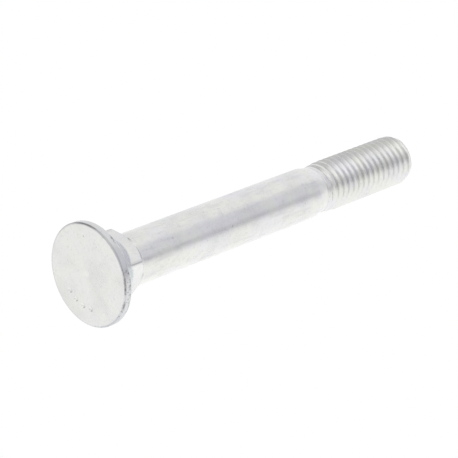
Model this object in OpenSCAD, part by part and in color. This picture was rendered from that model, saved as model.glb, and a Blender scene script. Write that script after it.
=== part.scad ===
/* [Head] */
// Diameter over the rim of the flat countersunk head
head_d = 23.8; // [22:0.2:26]
// Height of the plain rim above the flat face
rim_h = 1.8; // [1:0.1:2.4]
// Radius rolled on the edge of the flat face
edge_r = 0.35; // [0.2:0.05:0.5]
// Included angle of the seat under the head, in degrees
seat_angle = 90; // [84:2:96]
// Radius of the fillet between the seat and the neck
seat_fillet = 2; // [1:0.25:3]

/* [Square neck] */
// Width across the flats
neck_af = 11.4; // [11.2:0.1:11.8]
// Distance over the broken corners
neck_corner_d = 15.7; // [15:0.1:15.8]
// Height of the neck's end above the flat face
neck_top = 11; // [10:0.25:14]
// Height that the corners lose where the die ran out
corner_drop = 1.6; // [1:0.1:2]

/* [Shank] */
// Nominal diameter of the shank and of the thread
shank_d = 12; // [12:0.1:12.4]
// Length over all, from the flat face to the point
bolt_l = 100; // [80:5:140]
// Length of the taper from the shank down to the thread's pitch line
taper_l = 3; // [1.6:0.2:4]

/* [Thread] */
// Pitch of the thread
pitch = 1.75; // [1.5:0.25:2]
// Length of the threaded end, with its run-out
thread_l = 29.4; // [22:0.2:36]
// Turns over which the rolled crests come up to full height
rise_turns = 2; // [1:0.5:3]
// Radial play of the crests under the nominal diameter
crest_play = 0.04; // [0:0.01:0.1]
// Length of the chamfer on the point
point_l = 1.8; // [1:0.1:2.4]
// Diameter of the flat end
point_d = 10.2; // [9:0.2:10.6]

/* [Hidden] */
round_fn = 96;
arc_steps = 6;
turn_steps = 36;
lap = 1; // how far one form reaches into the next, so that they fuse
head_r = head_d / 2;
shank_r = shank_d / 2;
neck_r = neck_af / 2;
corner_r = neck_corner_d / 2;
seat_half = seat_angle / 2;

// Seat fillet: leaves the cone, stands upright just inside the neck's flats.
fillet_foot_r = neck_r - 0.15;
fillet_edge_r = fillet_foot_r + seat_fillet * (1 - cos(seat_half));
fillet_z = rim_h + (head_r - fillet_edge_r) / tan(seat_half) + seat_fillet * sin(seat_half);
function seat_fillet_at(t) = [
    fillet_foot_r + seat_fillet * (1 - cos(t)), fillet_z - seat_fillet * sin(t)
];

// Basic ISO profile: height of the sharp triangle, crest, pitch line, flank foot, root.
sharp_h = pitch * sqrt(3) / 2;
crest_r = shank_r - crest_play;
pitch_r = shank_r - sharp_h * 3 / 8;
flank_r = shank_r - sharp_h * 5 / 8;
root_r = shank_r - sharp_h * 17 / 24;

// One pitch of the skin, from root to root, as [height within the pitch, radius].
profile = [
    [0, root_r],
    [pitch * 3 / 32, flank_r],
    [pitch * 7 / 16, crest_r],
    [pitch * 9 / 16, crest_r],
    [pitch * 29 / 32, flank_r]
];
turn_rows = len(profile);

// The skin starts over two pitches down inside the shank and runs past the point.
thread_z = bolt_l - thread_l;
skin_z = thread_z - 2.3 * pitch;
turns = ceil((bolt_l - skin_z) / pitch) + 1;
rows = turns * turn_rows;

// Share of the full thread depth at height z.
function depth(z) = min(1, max(0, (z - thread_z) / (rise_turns * pitch)));

// Point of the skin at step i round the axis and row j along the right-hand helix.
function skin(i, j) = let (
        a = 360 * i / turn_steps,
        p = profile[j % turn_rows],
        z = skin_z + pitch * (floor(j / turn_rows) + i / turn_steps) + p[0],
        r = pitch_r + depth(z) * (p[1] - pitch_r)
    ) [r * cos(a), r * sin(a), z];

// Countersunk head: flat face, rolled edge, plain rim, cone and its fillet.
module head() {
    color("silver") rotate_extrude($fn = round_fn) union() {
        polygon(concat(
            [[0, 0], [head_r - edge_r, 0], [head_r, edge_r], [head_r, rim_h]],
            [for (k = [arc_steps:-1:0]) seat_fillet_at(seat_half * k / arc_steps)],
            [[0, fillet_z]]
        ));
        intersection() {
            translate([head_r - edge_r, edge_r]) circle(edge_r, $fn = round_fn);
            translate([head_r - edge_r, 0]) square(edge_r);
        }
    }
}

// Square neck that keeps the bolt from turning; its corners run out at the shank.
module square_neck() {
    foot = rim_h + lap / 2;
    color("gainsboro") intersection() {
        translate([-neck_r, -neck_r, foot]) cube([neck_af, neck_af, neck_top - foot + lap]);
        rotate_extrude($fn = round_fn) polygon([
            [0, 0], [corner_r, 0], [corner_r, neck_top - corner_drop],
            [shank_r, neck_top], [shank_r - lap, neck_top + lap], [0, neck_top + lap]
        ]);
    }
}

// Plain shank: steps out of the neck, ends in a taper that goes on inside the thread.
module shank() {
    color("silver") rotate_extrude($fn = round_fn) polygon([
        [0, neck_top - lap], [shank_r - lap, neck_top - lap], [shank_r, neck_top],
        [shank_r, thread_z - taper_l],
        [pitch_r, thread_z], [pitch_r - lap, thread_z + lap], [0, thread_z + lap]
    ]);
}

// Rolled thread: one helical skin that fades in at the shank and is cut to the point.
module thread() {
    last = turn_steps - 1;
    n = rows + 1;
    foot_point = turn_steps * n;
    walls = [for (i = [0:last - 1]) for (j = [0:rows - 1]) each [
        [i * n + j, i * n + j + 1, (i + 1) * n + j],
        [(i + 1) * n + j, i * n + j + 1, (i + 1) * n + j + 1]
    ]];
    // The last step meets the first one a turn, so one pitch, further on.
    seam = [for (j = [0:rows - turn_rows - 1]) each [
        [last * n + j, last * n + j + 1, j + turn_rows],
        [j + turn_rows, last * n + j + 1, j + turn_rows + 1]
    ]];
    foot = concat(
        [for (i = [0:last]) i * n], [for (k = [turn_rows:-1:1]) k]
    );
    crown = concat(
        [for (i = [0:last]) i * n + rows], [for (k = [1:turn_rows]) last * n + rows - k]
    );
    chamfer = point_l / (crest_r - point_d / 2);
    color("lightgray") intersection() {
        polyhedron(
            points = concat(
                [for (i = [0:last]) for (j = [0:rows]) skin(i, j)],
                [[0, 0, skin_z], [0, 0, skin_z + pitch * turns]]
            ),
            faces = concat(
                walls, seam,
                [for (k = [0:len(foot) - 1])
                    [foot_point, foot[k], foot[(k + 1) % len(foot)]]],
                [for (k = [0:len(crown) - 1])
                    [foot_point + 1, crown[(k + 1) % len(crown)], crown[k]]]
            )
        );
        rotate_extrude($fn = round_fn) polygon([
            [0, skin_z - lap], [shank_r + lap, skin_z - lap],
            [shank_r + lap, bolt_l - chamfer * (shank_r + lap - point_d / 2)],
            [point_d / 2, bolt_l], [0, bolt_l]
        ]);
    }
}

module plow_bolt() {
    union() {
        head();
        square_neck();
        shank();
        thread();
    }
}

plow_bolt();
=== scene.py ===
"""A zinc-plated plow bolt, standing on its flat head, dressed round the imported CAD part."""

import math

import bpy
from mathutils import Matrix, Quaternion, Vector


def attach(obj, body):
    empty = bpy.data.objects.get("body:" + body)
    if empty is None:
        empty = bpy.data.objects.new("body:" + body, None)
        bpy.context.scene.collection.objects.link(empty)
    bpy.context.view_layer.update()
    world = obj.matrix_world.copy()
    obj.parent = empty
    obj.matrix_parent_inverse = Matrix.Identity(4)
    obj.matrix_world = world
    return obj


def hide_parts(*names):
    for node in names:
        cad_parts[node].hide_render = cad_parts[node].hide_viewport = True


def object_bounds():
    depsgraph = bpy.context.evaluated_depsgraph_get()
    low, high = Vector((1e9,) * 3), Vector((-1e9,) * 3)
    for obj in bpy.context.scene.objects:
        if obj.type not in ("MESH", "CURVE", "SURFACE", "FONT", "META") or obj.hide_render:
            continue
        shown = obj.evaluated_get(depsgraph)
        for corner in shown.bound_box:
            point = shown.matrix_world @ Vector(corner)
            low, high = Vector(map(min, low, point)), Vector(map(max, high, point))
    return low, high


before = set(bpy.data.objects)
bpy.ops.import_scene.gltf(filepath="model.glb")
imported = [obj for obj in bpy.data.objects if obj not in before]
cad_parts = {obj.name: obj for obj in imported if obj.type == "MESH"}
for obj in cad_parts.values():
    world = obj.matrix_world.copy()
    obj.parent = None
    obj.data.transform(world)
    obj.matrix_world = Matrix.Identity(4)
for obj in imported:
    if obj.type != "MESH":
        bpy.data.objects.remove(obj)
cad_low, cad_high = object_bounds()

MM = 0.001  # metres in a millimetre

# Sides of the turned forms, sides of the thread's blank, and steps in a turn of the thread.
SIDES = 256
BLANK_SIDES = 192
TURN_STEPS = 96
SMOOTH_ANGLE = 32  # degrees between two faces that still shade as one surface

# Head, neck, shank and thread, in millimetres, as the CAD part has them.
HEAD_R = (cad_high.x - cad_low.x) / 2 / MM
BOLT_L = (cad_high.z - cad_low.z) / MM
EDGE_R = 0.35
RIM_H = 1.8
SEAT_ANGLE = 45  # degrees from the axis, so the seat rises as much as it narrows
SEAT_FILLET = 2.0
NECK_R = 5.7
CORNER_R = 7.85
NECK_TOP = 11.0
CORNER_DROP = 1.6
SHANK_R = 6.0
PITCH = 1.75
THREAD_Z = BOLT_L - 29.4
POINT_L = 1.8
POINT_R = 5.1
SHARP_H = PITCH * math.sqrt(3) / 2
CREST_R = SHANK_R - 0.04
PITCH_R = SHANK_R - SHARP_H * 3 / 8
FLANK_R = SHANK_R - SHARP_H * 5 / 8
ROOT_R = SHANK_R - SHARP_H * 17 / 24

# What differs here from the CAD part, in millimetres: the rolled shoulder between rim and
# seat, the height where the thread starts, the taper below it, and the length over which
# its crests come up to their full height.
SHOULDER_R = 0.5
ROLLED_Z = THREAD_Z - 0.3
TAPER_L = 2.8
RISE_L = 4.8
JOIN_Z = NECK_TOP + 0.8  # where the drawn neck ends and the plain shank starts

# Soft hollows in the face: radius, turn about the axis in degrees, size and depth.
DENTS = ((0, 0, 1.5, 0.08), (6.0, 18, 1.4, 0.03), (9.2, -32, 0.7, 0.03), (9.9, 70, 0.9, 0.02))

# Radius and depth of the round pips in the face.
PIP_R = 0.62
PIP_DEPTH = 0.3

PAINTED_LIGHT_TURN = 35  # degrees about the axis to the studio's front, from which the painted shade and highlights on the head and neck are placed
VIEW_TURN = 35  # degrees about the axis to the front of the studio
BUMP_DEPTH = 0.05 * MM

# The floor, in metres from the axis to its edge, and the gap in it under the head's face.
FLOOR_R = 3
FLOOR_GAP_R = (HEAD_R - 0.2) * MM

# The camera: focal length in millimetres, angles in degrees, then where it aims and from how
# far, in millimetres.
FOCAL_LENGTH = 205.3
HEADING, RISE, ROLL = -145.196, 40.9466, 69.0499
AIM = Vector((-0.871, 1.253, 42.4232))
DISTANCE = 590.7056

# Nicks in the plating: turn about the axis in degrees, then radius, height and size.
NICKS = (
    (45, 11.9, 1.0, 0.35), (48, 11.9, 1.5, 0.4), (50, 11.6, 2.1, 0.3), (54, 11.7, 2.0, 0.25),
    (57, 11.9, 1.6, 0.25), (61, 11.9, 1.5, 0.35), (66, 11.9, 1.6, 0.25), (71, 11.9, 1.3, 0.3),
    (80, 11.9, 1.4, 0.3), (3.5, 11.9, 1.75, 0.35), (6, 11.9, 1.62, 0.4), (8, 11.9, 1.6, 0.35),
    (10, 11.9, 1.52, 0.35), (12, 11.9, 1.55, 0.3), (14, 11.9, 1.48, 0.3), (-32, 8.9, 0.0, 0.3),
    (26, 6.0, 21.0, 0.22), (47, 6.0, 38.5, 0.22), (58, 6.0, 62.0, 0.2),
)


# ---------------------------------------------------------------- modelling


def clear():
    """Leaves nothing selected."""
    bpy.ops.object.select_all(action="DESELECT")


def pick(*pieces):
    """Selects pieces alone, with the first one active."""
    clear()
    for piece in pieces:
        piece.select_set(True)
    bpy.context.view_layer.objects.active = pieces[0]


def edit(piece, select="SELECT"):
    """Opens piece in edit mode, with all of it selected or none."""
    pick(piece)
    bpy.ops.object.mode_set(mode="EDIT")
    bpy.ops.mesh.select_all(action=select)


def done():
    """Goes back to object mode."""
    bpy.ops.object.mode_set(mode="OBJECT")


def named(name):
    """Names the piece that was just added."""
    piece = bpy.context.object
    piece.name = piece.data.name = name
    return piece


def modify(piece, kind, **settings):
    """Adds a modifier to piece and applies it."""
    pick(piece)
    modifier = piece.modifiers.new(kind.title(), kind)
    for key, value in settings.items():
        setattr(modifier, key, value)
    bpy.ops.object.modifier_apply(modifier=modifier.name)


def combine(piece, other, operation):
    """Cuts, joins or intersects piece with other, and takes other away."""
    modify(piece, "BOOLEAN", object=other, operation=operation, solver="EXACT")
    bpy.data.objects.remove(other)


def join(first, *others):
    """Makes one piece of them, without welding."""
    pick(first, *others)
    bpy.ops.object.join()
    return first


def weld(piece, gap=0.002):
    """Merges what lies closer than gap millimetres and turns the faces outwards."""
    edit(piece)
    bpy.ops.mesh.remove_doubles(threshold=gap * MM)
    bpy.ops.mesh.normals_make_consistent(inside=False)
    done()


def turned(name, stations, sides=SIDES, open_foot=False, open_top=False):
    """Raises a disc ring by ring through stations of (radius, height) in millimetres."""
    clear()
    r, z = stations[0]
    bpy.ops.mesh.primitive_circle_add(
        vertices=sides, radius=r * MM, fill_type="NGON", location=(0, 0, 0)
    )
    piece = named(name)
    edit(piece)
    bpy.ops.transform.translate(value=(0, 0, z * MM))
    for r_next, z_next in stations[1:]:
        bpy.ops.mesh.extrude_region_move(
            TRANSFORM_OT_translate={"value": (0, 0, (z_next - z) * MM)}
        )
        grow = r_next / r
        bpy.ops.transform.resize(
            value=(grow, grow, 1), center_override=(0, 0, z_next * MM)
        )
        r, z = r_next, z_next
    done()
    weld(piece)
    if open_foot:
        remove_cap(piece, stations[0][1])
    if open_top:
        remove_cap(piece, z)
    return piece


def remove_cap(piece, height):
    """Takes away the many-sided face that closes piece at height millimetres."""
    edit(piece, "DESELECT")
    bpy.ops.mesh.select_mode(type="FACE")
    done()
    for face in piece.data.polygons:
        face.select = len(face.vertices) > 4 and abs(face.center.z / MM - height) < 1e-3
    bpy.ops.object.mode_set(mode="EDIT")
    bpy.ops.mesh.delete(type="ONLY_FACE")
    bpy.ops.mesh.select_mode(type="VERT")
    done()


def arc(centre_r, centre_z, radius, start, end, steps):
    """Stations along an arc; angles in degrees from the outward direction, up."""
    for k in range(steps + 1):
        a = math.radians(start + (end - start) * k / steps)
        yield centre_r + radius * math.cos(a), centre_z + radius * math.sin(a)


# Seat: rolled shoulder, cone, then a fillet that stands up just inside the neck's flats.
fillet_foot_r = NECK_R - 0.15
fillet_edge_r = fillet_foot_r + SEAT_FILLET * (1 - math.cos(math.radians(SEAT_ANGLE)))
fillet_z = RIM_H + (HEAD_R - fillet_edge_r) + SEAT_FILLET * math.sin(math.radians(SEAT_ANGLE))
shoulder = list(arc(
    HEAD_R - SHOULDER_R, RIM_H - SHOULDER_R * math.tan(math.radians(SEAT_ANGLE / 2)),
    SHOULDER_R, 0, SEAT_ANGLE, 4
))
seat = [*shoulder, *arc(
    fillet_foot_r + SEAT_FILLET, fillet_z, SEAT_FILLET, 180 + SEAT_ANGLE, 180, 12
)]


def hard_neck():
    """The cone and the square at their sharp sizes, for the forging to be drawn onto."""
    cone = turned("cone", [(HEAD_R, 0), *seat, (fillet_foot_r, NECK_TOP + 3)])
    square = turned("square", [
        (CORNER_R, RIM_H + 0.5), (CORNER_R, NECK_TOP - CORNER_DROP),
        (SHANK_R, NECK_TOP), (SHANK_R - 1, NECK_TOP + 1),
    ])
    for x, y in ((1, 0), (0, 1), (-1, 0), (0, -1)):
        edit(square)
        bpy.ops.mesh.bisect(
            plane_co=(x * NECK_R * MM, y * NECK_R * MM, 0), plane_no=(x, y, 0),
            use_fill=True, clear_outer=True,
        )
        done()
    shank = turned("rod", [
        (SHANK_R - 1, NECK_TOP - 1), (SHANK_R, NECK_TOP), (SHANK_R, NECK_TOP + 5)
    ])
    return join(cone, square, shank)


def neck():
    """A fine tube drawn in onto the cone and the square, then eased except at its ends."""
    low, high, rows, ease_l = shoulder[0][1], JOIN_Z, 82, 0.6
    tube = turned("neck", [
        (HEAD_R + 1, low + (high - low) * k / rows) for k in range(rows + 1)
    ], open_foot=True, open_top=True)
    form = hard_neck()
    modify(
        tube, "SHRINKWRAP", target=form, wrap_method="PROJECT",
        use_positive_direction=False, use_negative_direction=True,
    )
    bpy.data.objects.remove(form)
    ease = tube.vertex_groups.new(name="ease")
    for vertex in tube.data.vertices:
        inside = min(vertex.co.z / MM - low, high - vertex.co.z / MM)
        ease.add([vertex.index], max(0, min(1, inside / ease_l - 0.3)), "REPLACE")
    modify(tube, "SMOOTH", factor=0.5, iterations=2, vertex_group="ease")
    return tube


def dent(piece, r, around, size, depth):
    """Presses a soft hollow into the face, size millimetres from its middle to its rim."""
    x, y = r * math.cos(math.radians(around)), r * math.sin(math.radians(around))
    edit(piece, "DESELECT")
    done()
    nearest = min(piece.data.vertices, key=lambda v: math.dist(v.co, (x * MM, y * MM, 0)))
    nearest.select = True
    bpy.ops.object.mode_set(mode="EDIT")
    bpy.ops.transform.translate(
        value=(0, 0, depth * MM), use_proportional_edit=True,
        proportional_edit_falloff="SMOOTH", proportional_size=size * MM,
    )
    done()


def pips(piece, r, start, step, count):
    """Stamps a row of round pips into the face on an arc of radius r."""
    ball = (PIP_R ** 2 + PIP_DEPTH ** 2) / (2 * PIP_DEPTH)
    for k in range(count):
        a = math.radians(start + step * k)
        clear()
        bpy.ops.mesh.primitive_uv_sphere_add(
            segments=48, ring_count=24, radius=ball * MM,
            location=(r * math.cos(a) * MM, r * math.sin(a) * MM, (PIP_DEPTH - ball) * MM),
        )
        combine(piece, named("punch"), "DIFFERENCE")


def head():
    """Flat face in close rings, its rolled edge and the rim, up to the rolled shoulder."""
    ring, rings = 0.25, 45
    face = [(ring * k, 0) for k in range(1, rings + 1)]
    edge = arc(HEAD_R - EDGE_R, EDGE_R, EDGE_R, -90, 0, 6)
    piece = turned("head", [*face, *edge, (HEAD_R, RIM_H * 0.6), shoulder[0]], open_top=True)
    for hollow in DENTS:
        dent(piece, *hollow)
    return piece


def shank():
    """Plain shank, its taper, and the core that goes on inside the thread.

    The core shrinks from the pitch line to below the root while the crests come up, so the
    first grooves start shallow and deepen.
    """
    foot = ROLLED_Z - TAPER_L
    rows = 24
    plain = [
        (SHANK_R, JOIN_Z + (foot - 0.25 - JOIN_Z) * k / rows) for k in range(rows + 1)
    ]
    taper = [
        (SHANK_R - drop, foot + up) for drop, up in (
            (0.01, -0.1), (0.05, 0.2), (0.13, 0.7), (0.22, 1.2), (0.32, 1.7), (0.44, 2.2)
        )
    ]
    core = [
        (PITCH_R, ROLLED_Z), (PITCH_R - 0.08, ROLLED_Z + 0.3 * RISE_L),
        (PITCH_R - 0.26, ROLLED_Z + 0.6 * RISE_L),
        (ROOT_R - 0.06, ROLLED_Z + RISE_L), (ROOT_R - 1, ROLLED_Z + RISE_L + 1)
    ]
    return turned("shank", [*plain, *taper, *core], open_foot=True)


def close_ends(piece, middle):
    """Closes each open end of piece to a point; middle is a height between them in metres."""
    edit(piece, "DESELECT")
    bpy.ops.mesh.select_mode(type="EDGE")
    for low in (True, False):
        bpy.ops.mesh.select_all(action="DESELECT")
        bpy.ops.mesh.select_non_manifold(
            extend=False, use_wire=False, use_boundary=True,
            use_multi_face=False, use_non_contiguous=False, use_verts=False,
        )
        done()
        points = piece.data.vertices
        for edge in piece.data.edges:
            if (points[edge.vertices[0]].co.z < middle) != low:
                edge.select = False
        for point in points:
            point.select = False
        for edge in piece.data.edges:
            if edge.select:
                for index in edge.vertices:
                    points[index].select = True
        bpy.ops.object.mode_set(mode="EDIT")
        bpy.ops.mesh.extrude_region_move(TRANSFORM_OT_translate={"value": (0, 0, 0)})
        bpy.ops.mesh.merge(type="CENTER")
    bpy.ops.mesh.select_mode(type="VERT")
    done()


def thread_profile():
    """One pitch from root to root, as (share of the pitch, radius)."""
    foot, brow = 0.094, 0.40
    brow_r = CREST_R - 0.09
    root = [(0, ROOT_R), (0.05, ROOT_R + 0.035), (foot, FLANK_R)]
    crest = [
        (brow, brow_r), (0.43, CREST_R - 0.025), (0.46, CREST_R), (0.5, CREST_R + 0.005)
    ]
    flank = [(foot + (brow - foot) * t, FLANK_R + (brow_r - FLANK_R) * t)
             for t in (1 / 3, 2 / 3)]
    half = [*root, *flank, *crest]
    return [*half, *[(1 - t, r) for t, r in reversed(half[:-1])]]


def thread():
    """One pitch of the rolled profile, screwed up the axis and cut out of a turned blank.

    The blank starts as a slow cone, so that the crests rise as narrow flats, and ends in
    the point's chamfer.
    """
    profile = thread_profile()
    start = THREAD_Z - 2.3 * PITCH
    turns = math.ceil((BOLT_L - start) / PITCH) + 1
    clear()
    bpy.ops.mesh.primitive_plane_add(size=MM, location=(0, 0, 0))
    piece = named("thread")
    edit(piece)
    bpy.ops.mesh.merge(type="CENTER")
    t, r = profile[0]
    bpy.ops.transform.translate(value=(r * MM, 0, (start + t * PITCH) * MM))
    for t_next, r_next in profile[1:]:
        bpy.ops.mesh.extrude_region_move(TRANSFORM_OT_translate={
            "value": ((r_next - r) * MM, 0, (t_next - t) * PITCH * MM)
        })
        t, r = t_next, r_next
    done()
    modify(
        piece, "SCREW", axis="Z", angle=math.tau, screw_offset=PITCH * MM,
        iterations=turns, steps=TURN_STEPS, render_steps=TURN_STEPS,
        use_normal_calculate=True,
    )
    weld(piece)
    close_ends(piece, (start + turns * PITCH / 2) * MM)
    blank = turned("blank", [
        (PITCH_R - 0.3, ROLLED_Z - 0.8), (PITCH_R, ROLLED_Z),
        (PITCH_R + 0.18, ROLLED_Z + 0.3 * RISE_L), (PITCH_R + 0.4, ROLLED_Z + 0.7 * RISE_L),
        (CREST_R + 0.05, ROLLED_Z + RISE_L), (SHANK_R + 1, ROLLED_Z + RISE_L + 2),
        (SHANK_R + 1, BOLT_L - POINT_L * (SHANK_R + 1 - POINT_R) / (CREST_R - POINT_R)),
        (POINT_R, BOLT_L),
    ], sides=BLANK_SIDES)
    combine(piece, blank, "INTERSECT")
    return piece


def bolt():
    """The whole bolt as one closed piece."""
    body = join(head(), neck(), shank())
    weld(body, gap=0.02)
    pips(body, r=7.7, start=149, step=18, count=4)
    combine(body, thread(), "UNION")
    weld(body, gap=0.001)
    pick(body)
    bpy.ops.object.shade_smooth_by_angle(angle=math.radians(SMOOTH_ANGLE))
    body.name = body.data.name = "bolt"
    return body


# ---------------------------------------------------------------- materials


class Value:
    """A socket that takes part in Python expressions."""

    def __init__(self, maker, socket):
        self.maker, self.socket = maker, socket

    def _math(self, operation, *others):
        return self.maker.node(
            "ShaderNodeMath", {"operation": operation},
            {i: v for i, v in enumerate((self, *others))},
        )

    def __add__(self, other):
        return self._math("ADD", other)

    def __radd__(self, other):
        return self._math("ADD", other)

    def __sub__(self, other):
        return self._math("SUBTRACT", other)

    def __rsub__(self, other):
        return self.maker.node(
            "ShaderNodeMath", {"operation": "SUBTRACT"}, {0: other, 1: self}
        )

    def __mul__(self, other):
        return self._math("MULTIPLY", other)

    def __rmul__(self, other):
        return self._math("MULTIPLY", other)

    def over(self, low, high):
        """0 below low, 1 above high, eased between."""
        return self.maker.node(
            "ShaderNodeMapRange", {"interpolation_type": "SMOOTHSTEP"},
            {"Value": self, "From Min": low, "From Max": high},
        )


class Maker:
    """Adds nodes to one node tree, which it empties first."""

    def __init__(self, tree):
        self.tree = tree
        tree.nodes.clear()

    def node(self, kind, settings=None, inputs=None, output=0):
        made = self.tree.nodes.new(kind)
        for key, value in (settings or {}).items():
            setattr(made, key, value)
        for key, value in (inputs or {}).items():
            socket = made.inputs[key]
            if isinstance(value, Value):
                self.tree.links.new(value.socket, socket)
            else:
                socket.default_value = value
        return Value(self, made.outputs[output]) if made.outputs else None

    def mix(self, factor, first, second):
        """Colour from first at 0 to second at 1; a mix node has its colours on 6 and 7."""
        return self.node(
            "ShaderNodeMix", {"data_type": "RGBA"}, {0: factor, 6: first, 7: second}, 2
        )


def colour(r, g, b):
    """An opaque colour."""
    return (r, g, b, 1)


def band(value, start, full, fade, end):
    """0 up to start, 1 from full to fade, 0 again from end."""
    return value.over(start, full) * (1 - value.over(fade, end))


def zinc_plating():
    """Bright zinc over a forged and drawn surface, in millimetres on Object coordinates, with
    painted shade and highlights on the head and neck.
    """
    material = bpy.data.materials.new("zinc_plating")
    material.use_nodes = True
    m = Maker(material.node_tree)
    place = m.node("ShaderNodeTexCoord", output="Object")
    mm = m.node("ShaderNodeMapping", {}, {"Vector": place, "Scale": (1000, 1000, 1000)})
    flat = m.node("ShaderNodeMapping", {}, {"Vector": place, "Scale": (1000, 1000, 0)})
    along = m.node("ShaderNodeMapping", {}, {"Vector": place, "Scale": (1000, 1000, 180)})
    r = m.node("ShaderNodeVectorMath", {"operation": "LENGTH"}, {0: flat}, "Value")
    z = m.node("ShaderNodeSeparateXYZ", {}, {"Vector": mm}, "Z")
    outwards = m.node("ShaderNodeVectorMath", {"operation": "NORMALIZE"}, {0: flat}, "Vector")

    def noise(vector, scale, detail, roughness=0.5, seed=0.0):
        return m.node("ShaderNodeTexNoise", {"noise_dimensions": "4D"}, {
            "Vector": vector, "W": seed, "Scale": scale, "Detail": detail,
            "Roughness": roughness,
        })

    def facing(turn, edge, full):
        """1 within full degrees of turn about the axis, 0 past edge degrees of it."""
        a = math.radians(turn)
        share = m.node("ShaderNodeVectorMath", {"operation": "DOT_PRODUCT"}, {
            0: outwards, 1: (math.cos(a), math.sin(a), 0)
        }, "Value")
        return share.over(math.cos(math.radians(edge)), math.cos(math.radians(full)))

    def nick(turn, out, up, size):
        """A ragged spot, strongest at its middle and gone size millimetres from it."""
        a = math.radians(turn)
        away = m.node("ShaderNodeVectorMath", {"operation": "DISTANCE"}, {
            0: ragged, 1: (out * math.cos(a), out * math.sin(a), up)
        }, "Value")
        return (1 - away.over(0.4 * size, size)) * 1.4 * size

    # Places shifted by up to 0.45 mm each way, which makes the nicks ragged.
    jitter = m.node("ShaderNodeTexNoise", {}, {"Vector": mm, "Scale": 2.2, "Detail": 1.0}, "Color")
    shifted = m.node("ShaderNodeVectorMath", {"operation": "MULTIPLY_ADD"}, {
        0: jitter, 1: (0.9, 0.9, 0.9), 2: mm
    }, "Vector")
    ragged = m.node("ShaderNodeVectorMath", {"operation": "SUBTRACT"}, {
        0: shifted, 1: (0.45, 0.45, 0.45)
    }, "Vector")

    # Unevenness of the plating and of the metal under it, and patches that break up the painted
    # shade.
    cloud = noise(mm, 0.14, 3.0)
    tint = noise(mm, 0.25, 2.0, seed=7.0)
    mottle = noise(mm, 0.6, 2.0, seed=21.0)
    drawn = noise(along, 0.9, 1.5, seed=5.0)
    grain = noise(mm, 1.4, 1.0, seed=1.0)
    pits = noise(mm, 1.5, 2.0, 0.6, seed=3.0)
    speckle = noise(mm, 2.2, 1.0, seed=31.0)
    # Patches that break up the painted shade at the face's rolled edge and at the shoulder.
    shade_patches = noise(mm, 0.3, 2.0, seed=11.0).over(0.4, 0.65)

    # Where each finish and each painted shade or highlight lies on the bolt.
    on_shank = band(z, NECK_TOP, NECK_TOP + 1, THREAD_Z - 2, THREAD_Z - 1)
    on_seat = z.over(RIM_H - 0.1, RIM_H + 0.3) * (
        1 - (r + z).over(HEAD_R + RIM_H + 0.1, HEAD_R + RIM_H + 0.5)
    )
    outer = r.over(HEAD_R - 0.6, HEAD_R - 0.25)
    on_rim = outer * (1 - z.over(RIM_H + 0.1, RIM_H + 0.4))
    rough = 0.2 * (grain - 0.5)
    # The face's rolled edge, which carries a painted dark line of shade and, on the far side, a
    # painted highlight.
    on_edge = (r + rough).over(HEAD_R - 0.42, HEAD_R - 0.2) * (
        1 - (z + rough).over(EDGE_R - 0.05, EDGE_R + 0.15)
    )
    # The rolled shoulder between rim and seat, where painted shade goes on one side.
    on_shoulder = outer * band(z + rough, 1.35, 1.55, 1.65, 1.85)
    # The neck's corner edges, where painted shade goes.
    on_corner = r.over(7.35, 7.75) * band(z, 5.4, 6.4, 9.6, 10.0)
    # Where the neck's corners run out into the shank, which gets a painted shadow.
    run_out = (CORNER_R - SHANK_R) / CORNER_DROP
    end_line = SHANK_R + run_out * NECK_TOP
    at_corner_end = (r + run_out * z).over(end_line - 0.5, end_line - 0.1) * band(
        z, 9.3, 9.7, 10.8, 11.1
    )
    # The side where the seat is painted lighter and light blue as a painted highlight; the seat and
    # rim also carry more pits and specks there.
    pale_side = facing(PAINTED_LIGHT_TURN + 60, 60, 35)
    # How dark the painted shade on the rolled edge is, side by side round the head.
    edge_shade = (
        0.4 * facing(PAINTED_LIGHT_TURN - 64, 21, 4) + 0.22 * facing(PAINTED_LIGHT_TURN - 20, 26, 8)
        + 0.5 * shade_patches * facing(PAINTED_LIGHT_TURN + 35, 24, 8)
    )

    # The plating's own colour, laid over in turn by each finish and by the painted shade and
    # highlights marked below.
    base = m.mix(
        tint.over(0.4, 0.62) * (0.5 + 0.5 * z.over(0.05, 0.15)),
        colour(0.815, 0.82, 0.785), colour(0.80, 0.80, 0.825)
    )
    base = m.mix(cloud.over(0.4, 0.75) * 0.6, base, colour(0.70, 0.70, 0.70))
    base = m.mix(mottle.over(0.5, 0.75) * on_shank * 0.35, base, colour(0.62, 0.63, 0.62))
    base = m.mix(drawn.over(0.5, 0.75) * on_shank * 0.35, base, colour(0.60, 0.60, 0.65))
    base = m.mix(grain.over(0.5, 0.8) * 0.2, base, colour(0.62, 0.62, 0.63))
    # The rim darkened towards lavender all round, and further on one side as painted shade.
    base = m.mix(
        on_rim * (0.5 + 0.5 * facing(PAINTED_LIGHT_TURN + 95, 45, 15)), base, colour(0.60, 0.605, 0.64)
    )
    # Painted shade on the seat between rim and neck, tinted and mottled, lighter on its pale side.
    lilac = 0.58 + 0.4 * mottle.over(0.3, 0.7) - 0.65 * pale_side
    base = m.mix(on_seat * lilac, base, colour(0.565, 0.575, 0.66))
    # Painted highlight: the seat lighter and light blue on its pale side.
    base = m.mix(on_seat * pale_side * 0.65, base, colour(0.61, 0.69, 0.735))
    pitted = 0.12 + on_seat * (0.2 + 0.3 * pale_side) + on_rim * (0.25 + 0.35 * pale_side)
    base = m.mix(pits.over(0.62, 0.68) * pitted, base, colour(0.2, 0.2, 0.24))
    base = m.mix(
        speckle.over(0.58, 0.64) * on_rim * pale_side * 0.5, base, colour(0.2, 0.2, 0.22)
    )
    # Painted shade along the neck's corner edges.
    base = m.mix(on_corner * 0.3, base, colour(0.42, 0.42, 0.44))
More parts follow.
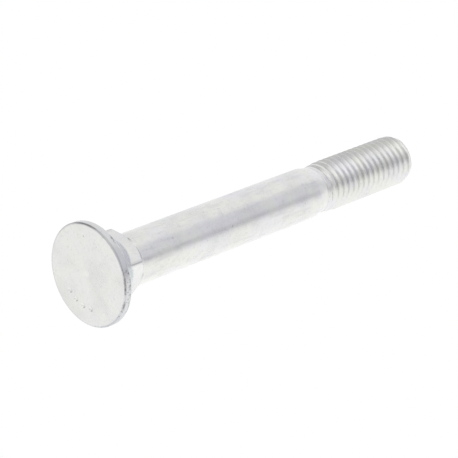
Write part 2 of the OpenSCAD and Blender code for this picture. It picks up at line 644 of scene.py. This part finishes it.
    # Painted shadow where the neck's corners run out into the shank, deepest towards the studio's
    # front.
    base = m.mix(
        at_corner_end * (0.12 + 0.5 * facing(PAINTED_LIGHT_TURN - 2, 22, 14)), base, colour(0.35, 0.35, 0.38)
    )
    # Painted shade along the rolled shoulder on one side, broken into patches.
    base = m.mix(
        on_shoulder * shade_patches * facing(PAINTED_LIGHT_TURN + 40, 50, 25) * 0.6, base, colour(0.3, 0.32, 0.33)
    )
    # Painted shade: a dark line along the face's rolled edge.
    base = m.mix(on_edge * (0.05 + edge_shade), base, colour(0.05, 0.05, 0.05))
    # Painted highlight: the rolled edge near white on the side away from the studio's front.
    edge_highlight = facing(PAINTED_LIGHT_TURN + 172, 82, 50)
    base = m.mix(on_edge * edge_highlight * 0.9, base, colour(0.98, 0.98, 0.97))
    for place_and_size in NICKS:
        base = m.mix(nick(*place_and_size), base, colour(0.12, 0.12, 0.15))

    gloss = 0.15 + 0.1 * cloud + 0.1 * grain + 0.1 * on_seat
    height = grain + 1.6 * drawn * on_shank + 0.4 * pits
    bump = m.node("ShaderNodeBump", {}, {
        "Strength": 0.12, "Distance": BUMP_DEPTH, "Height": height
    })
    shader = m.node("ShaderNodeBsdfPrincipled", {}, {
        "Base Color": base, "Roughness": gloss, "Metallic": 1.0, "Normal": bump
    })
    m.node("ShaderNodeOutputMaterial", {}, {"Surface": shader})
    return material


# ---------------------------------------------------------------- studio


def studio_world():
    """White to the camera; to the metal, soft walls with dimmer gaps, cards and a flag.

    Places on the walls are in degrees: side runs round from 0 at the studio's front to 180
    at its back either way, and rise from -90 below to 90 overhead.
    """
    world = bpy.data.worlds.new("studio")
    bpy.context.scene.world = world
    world.use_nodes = True
    m = Maker(world.node_tree)
    way = m.node("ShaderNodeTexCoord", output="Generated")
    turn = m.node("ShaderNodeVectorRotate", {"rotation_type": "Z_AXIS"}, {
        "Vector": way, "Angle": -math.radians(VIEW_TURN)
    })
    x, y, z = (m.node("ShaderNodeSeparateXYZ", {}, {0: turn}, axis) for axis in "XYZ")
    degrees = 180 / math.pi
    side = m.node("ShaderNodeMath", {"operation": "ARCTAN2"}, {0: y, 1: x}) * degrees
    rise = m.node("ShaderNodeMath", {"operation": "ARCSINE"}, {0: z}) * degrees

    front = band(side, -52, -26, 26, 46) * rise.over(-60, -10)
    slot = band(side, 7, 18, 26, 38) * (1 - rise.over(46, 56))
    ceiling = band(side, -145, -120, 40, 60) * band(rise, 50, 60, 66, 76)
    low_slot = band(side, -12, 20, 32, 62) * (1 - rise.over(-50, -20))
    right = side.over(36, 64)
    right_tint = band(side, 36, 64, 95, 125)
    left_tint = (1 - side.over(-135, -95)) * rise.over(-10, 10)
    back_right = side.over(84, 116) * rise.over(-20, 20)
    back_left = (1 - side.over(-180, -140)) * rise.over(-20, 20)
    low_right = band(side, 66, 100, 140, 165) * (1 - rise.over(-12, 12))
    flag = band(side, -165, -105, -92, -60) * band(rise, -66, -44, 4, 30)
    front_card = band(side, -45, -25, 10, 30) * band(rise, -44, -36, -16, -8)
    back_card = (side.over(150, 172) + (1 - side.over(-175, -160))) * band(rise, -24, -14, 18, 28)
    side_card = band(side, 62, 74, 84, 94) * band(rise, -30, -20, 12, 22)
    key = band(side, -78, -54, -20, 4) * (1 - rise.over(5, 30))
    skirting = band(rise, -22, -10, 8, 20) * (
        0.65 * band(side, -165, -150, -75, -50) + 0.35 * band(side, -165, -150, 20, 50)
    )
    ground = 1 - rise.over(-90, -74)
    light = (
        0.95 - 0.18 * front - 0.15 * slot - 0.2 * low_slot + 0.1 * right
        + 0.06 * low_right + 0.05 * back_right + 0.085 * back_left - 0.3 * flag
        + 0.2 * key - 0.22 * skirting - 0.5 * ground
        - 0.3 * front_card - 0.4 * back_card - 0.2 * side_card + 0.06 * ceiling
    )
    grey = m.mix(front, colour(1, 1, 0.995), colour(0.985, 0.985, 1.03))
    grey = m.mix(right_tint, grey, colour(1, 1, 0.985))
    grey = m.mix(left_tint, grey, colour(0.995, 0.995, 1.01))
    ray = m.node("ShaderNodeLightPath", output="Is Camera Ray")
    seen = m.node("ShaderNodeBackground", {}, {"Color": colour(1, 1, 1), "Strength": 1.0})
    lit = m.node("ShaderNodeBackground", {}, {"Color": grey, "Strength": light})
    both = m.node("ShaderNodeMixShader", {}, {0: ray, 1: lit, 2: seen})
    m.node("ShaderNodeOutputWorld", {}, {"Surface": both})


def floor():
    """Pale floor, seen from above only, open under the flat of the head."""
    clear()
    bpy.ops.mesh.primitive_circle_add(vertices=128, radius=FLOOR_GAP_R, fill_type="NOTHING")
    piece = named("floor")
    edit(piece)
    bpy.ops.mesh.extrude_region_move(TRANSFORM_OT_translate={"value": (0, 0, 0)})
    grow = FLOOR_R / FLOOR_GAP_R
    bpy.ops.transform.resize(value=(grow, grow, 1), center_override=(0, 0, 0))
    bpy.ops.mesh.select_all(action="SELECT")
    bpy.ops.mesh.normals_make_consistent(inside=False)
    done()
    if piece.data.polygons[0].normal.z < 0:
        edit(piece)
        bpy.ops.mesh.flip_normals()
        done()
    material = bpy.data.materials.new("pale_floor")
    material.use_nodes = True
    m = Maker(material.node_tree)
    back = m.node("ShaderNodeNewGeometry", output="Backfacing")
    paint = m.node("ShaderNodeBsdfDiffuse", {}, {"Color": colour(0.95, 0.95, 0.95)})
    clear_side = m.node("ShaderNodeBsdfTransparent")
    both = m.node("ShaderNodeMixShader", {}, {0: back, 1: paint, 2: clear_side})
    m.node("ShaderNodeOutputMaterial", {}, {"Surface": both})
    piece.data.materials.append(material)
    piece.visible_glossy = False


def camera():
    """Looks up at the standing bolt from below its head, turned about its line of sight."""
    data = bpy.data.cameras.new("camera")
    data.sensor_width = 36
    data.lens = FOCAL_LENGTH
    data.clip_start, data.clip_end = 0.01, 20
    piece = bpy.data.objects.new("camera", data)
    bpy.context.scene.collection.objects.link(piece)
    heading, rise, roll = (math.radians(a) for a in (HEADING, RISE, ROLL))
    look = Vector((
        math.cos(rise) * math.cos(heading), math.cos(rise) * math.sin(heading), math.sin(rise)
    ))
    piece.location = (AIM - DISTANCE * look) * MM
    piece.rotation_mode = "QUATERNION"
    piece.rotation_quaternion = (
        look.to_track_quat("-Z", "Y") @ Quaternion((0, 0, 1), roll)
    )
    bpy.context.scene.camera = piece


bpy.context.scene.view_settings.view_transform = "Standard"
body = bolt()
body.data.materials.clear()
body.data.materials.append(zinc_plating())
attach(body, "root")
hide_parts("plow_bolt")
studio_world()
floor()
camera()
